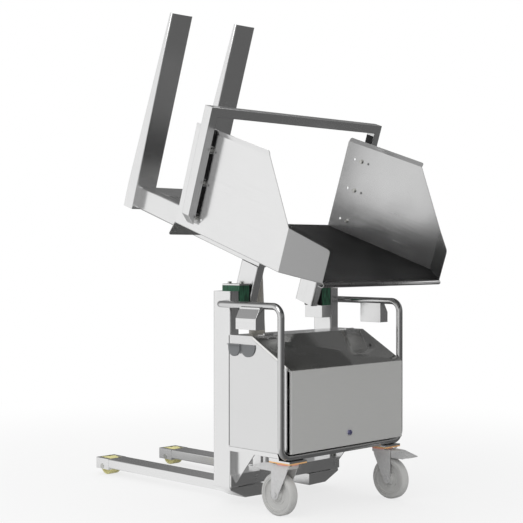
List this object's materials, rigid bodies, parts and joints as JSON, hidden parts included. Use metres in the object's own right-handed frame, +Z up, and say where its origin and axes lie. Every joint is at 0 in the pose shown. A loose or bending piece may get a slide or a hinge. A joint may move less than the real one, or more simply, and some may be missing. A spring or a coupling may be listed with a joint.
{
  "type": "tipping hopper",
  "caption": "Mobile stainless tipper: two forks lift a pallet box and a tilting frame empties it over a tapered chute; castors, rollers, sloped cabinet and push handle.",
  "frame": {"origin": "on the floor, under the middle of the whole machine in its tipped rest pose", "axes": "+X across the machine to the right of the operator, +Y from the operator's side to the ends of the legs, +Z up"},
  "size_m": [1.21, 1.8454, 2.4428],
  "materials": {
    "stainless": "fine brushed",
    "fastener_steel": "satin",
    "green_plastic": "matt",
    "roller_plastic": "satin",
    "castor_metal": "satin",
    "wheel_plastic": "satin",
    "ring_plastic": "satin",
    "lock_metal": "satin",
    "hook_plastic": "matt",
    "battery_plastic": "matt",
    "pump_paint": "satin",
    "control_plastic": "matt",
    "tip_plastic": "gloss",
    "lower_plastic": "gloss",
    "rod_chrome": "polished",
    "barrel_paint": "satin"
  },
  "bodies": {
    "chassis": {"mast_left": "stainless", "mast_right": "stainless", "mast_feet": "stainless", "leg_left": "stainless", "leg_right": "stainless", "leg_caps": "stainless", "roller_axles": "fastener_steel", "crossmember": "stainless", "frame_gussets": "stainless", "castor_pads": "stainless", "castor_plates": "castor_metal", "swivel_rings": "ring_plastic", "cabinet_tray": "stainless", "cabinet_shell": "stainless", "hinge_bases": "stainless", "cable_hook": "hook_plastic", "battery": "battery_plastic", "pump_motor": "pump_paint", "oil_tank": "pump_paint", "control_unit": "control_plastic", "handle_tube": "stainless", "control_box_left": "stainless", "control_box_right": "stainless", "bearing_block_left": "green_plastic", "bearing_block_right": "green_plastic", "bearing_brackets": "stainless", "bearing_plates": "stainless", "chassis_bolts": "fastener_steel", "cylinder_foot": "fastener_steel"},
    "tipping_frame": {"fork_left": "stainless", "fork_right": "stainless", "beam_left": "stainless", "beam_right": "stainless", "tilt_arm_left": "stainless", "tilt_arm_right": "stainless", "heel_crossbeam": "stainless", "cross_rails": "stainless", "chute_floor": "stainless", "side_plate_left": "stainless", "side_plate_right": "stainless", "hoop": "stainless", "hoop_fixings": "fastener_steel", "pivot_shafts": "fastener_steel", "cylinder_lever": "stainless"},
    "rod": {"cylinder_rod": "rod_chrome"},
    "barrel": {"cylinder_barrel": "barrel_paint"},
    "cover": {"front_cover": "stainless", "hinge_leaves": "stainless"},
    "lock": {"cover_lock": "lock_metal"},
    "tip_button": {"tip_button": "tip_plastic"},
    "lower_button": {"lower_button": "lower_plastic"},
    "left_yoke": {"castor_yoke_left": "castor_metal"},
    "left_wheel": {"castor_wheel_left": "wheel_plastic"},
    "left_pedal": {"castor_pedal_left": "castor_metal"},
    "right_yoke": {"castor_yoke_right": "castor_metal"},
    "right_wheel": {"castor_wheel_right": "wheel_plastic"},
    "right_pedal": {"castor_pedal_right": "castor_metal"},
    "left_roller": {"roller_left": "roller_plastic"},
    "right_roller": {"roller_right": "roller_plastic"}
  },
  "joints": [
    {"name": "tilt", "type": "hinge", "parent": "chassis", "child": "tipping_frame", "pos_m": [0, -0.19628, 1.004], "axis": [1, 0, 0], "range_deg": [-108.5, 0]},
    {"name": "cylinder_swing", "type": "hinge", "parent": "chassis", "child": "rod", "pos_m": [-0.14, -0.22128, 0.25], "axis": [1, 0, 0], "range_deg": [-9.3, 0.1]},
    {"name": "cylinder_slide", "type": "slide", "parent": "rod", "child": "barrel", "axis": [0, 0.0588, 0.9983], "range_m": [-0.2006, 0.0006]},
    {"name": "cover_hinge", "type": "hinge", "parent": "chassis", "child": "cover", "pos_m": [0, -0.41528, 0.8308], "axis": [1, 0, 0], "range_deg": [-80, 0]},
    {"name": "lock_turn", "type": "hinge", "parent": "cover", "child": "lock", "pos_m": [0, -0.66928, 0.364], "axis": [0, 1, 0], "range_deg": [0, 90]},
    {"name": "tip_press", "type": "slide", "parent": "chassis", "child": "tip_button", "axis": [-1, 0, 0], "range_m": [0, 0.004], "stiffness_N_per_m": 400},
    {"name": "lower_press", "type": "slide", "parent": "chassis", "child": "lower_button", "axis": [-1, 0, 0], "range_m": [0, 0.004], "stiffness_N_per_m": 400},
    {"name": "left_swivel", "type": "hinge", "parent": "chassis", "child": "left_yoke", "pos_m": [-0.339, -0.59128, 0.24], "axis": [0, 0, 1], "continuous": true},
    {"name": "left_wheel_spin", "type": "hinge", "parent": "left_yoke", "child": "left_wheel", "pos_m": [-0.339, -0.53728, 0.1], "axis": [1, 0, 0], "continuous": true},
    {"name": "left_pedal_press", "type": "hinge", "parent": "left_yoke", "child": "left_pedal", "pos_m": [-0.339, -0.52928, 0.232], "axis": [1, 0, 0], "range_deg": [-15, 0]},
    {"name": "left_roller_spin", "type": "hinge", "parent": "chassis", "child": "left_roller", "pos_m": [-0.225, 0.86922, 0.048], "axis": [1, 0, 0], "continuous": true},
    {"name": "right_swivel", "type": "hinge", "parent": "chassis", "child": "right_yoke", "pos_m": [0.339, -0.59128, 0.24], "axis": [0, 0, 1], "continuous": true},
    {"name": "right_wheel_spin", "type": "hinge", "parent": "right_yoke", "child": "right_wheel", "pos_m": [0.339, -0.64528, 0.1], "axis": [1, 0, 0], "continuous": true},
    {"name": "right_pedal_press", "type": "hinge", "parent": "right_yoke", "child": "right_pedal", "pos_m": [0.339, -0.65328, 0.232], "axis": [1, 0, 0], "range_deg": [0, 15]},
    {"name": "right_roller_spin", "type": "hinge", "parent": "chassis", "child": "right_roller", "pos_m": [0.225, 0.86922, 0.048], "axis": [1, 0, 0], "continuous": true}
  ],
  "couplings": [
    {"joint": "cylinder_swing", "follows": "tilt", "ratio": 0.084765},
    {"joint": "cylinder_slide", "follows": "tilt", "m_per_rad": 0.10562}
  ]
}
